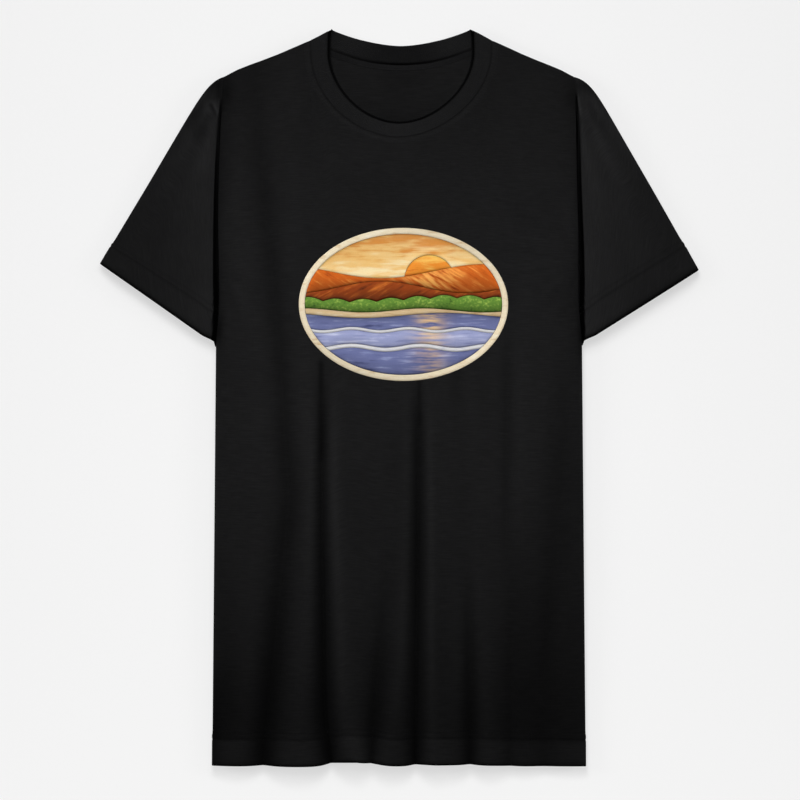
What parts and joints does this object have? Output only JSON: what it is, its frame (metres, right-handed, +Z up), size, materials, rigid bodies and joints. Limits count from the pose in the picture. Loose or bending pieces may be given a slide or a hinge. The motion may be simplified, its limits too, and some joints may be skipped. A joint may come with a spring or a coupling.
{
  "type": "t-shirt",
  "caption": "Short-sleeved crew-neck T-shirt with a ribbed collar and an oval landscape print on the chest, lying on its back and open at neck, sleeves and hem.",
  "frame": {"origin": "middle of the footprint, on the flat underside of the back panel", "axes": "+Y from the hem to the neck, +Z up out of the front, +X towards the wearer's left sleeve"},
  "size_m": [0.5982, 0.736, 0.043],
  "materials": {
    "jersey": "matte",
    "rib": "matte",
    "tape": "matte",
    "ink_cream": "matte",
    "ink_sky": "matte",
    "ink_sun": "matte",
    "ink_rust": "matte",
    "ink_umber": "matte",
    "ink_leaf": "matte",
    "ink_sand": "matte",
    "ink_lavender": "matte",
    "ink_slate": "matte",
    "ink_foam": "matte"
  },
  "bodies": {
    "root": {"front_panel": "jersey", "back_panel": "jersey", "sleeve_left": "jersey", "sleeve_right": "jersey", "neck_rib": "rib", "neck_tape": "tape", "print_border": "ink_cream", "print_water_near": "ink_slate", "print_wave_near": "ink_foam", "print_water_middle": "ink_lavender", "print_wave_far": "ink_foam", "print_water_far": "ink_slate", "print_shore": "ink_sand", "print_trees": "ink_leaf", "print_near_hills": "ink_umber", "print_far_hills": "ink_rust", "print_sun": "ink_sun", "print_sky": "ink_sky"}
  },
  "joints": []
}
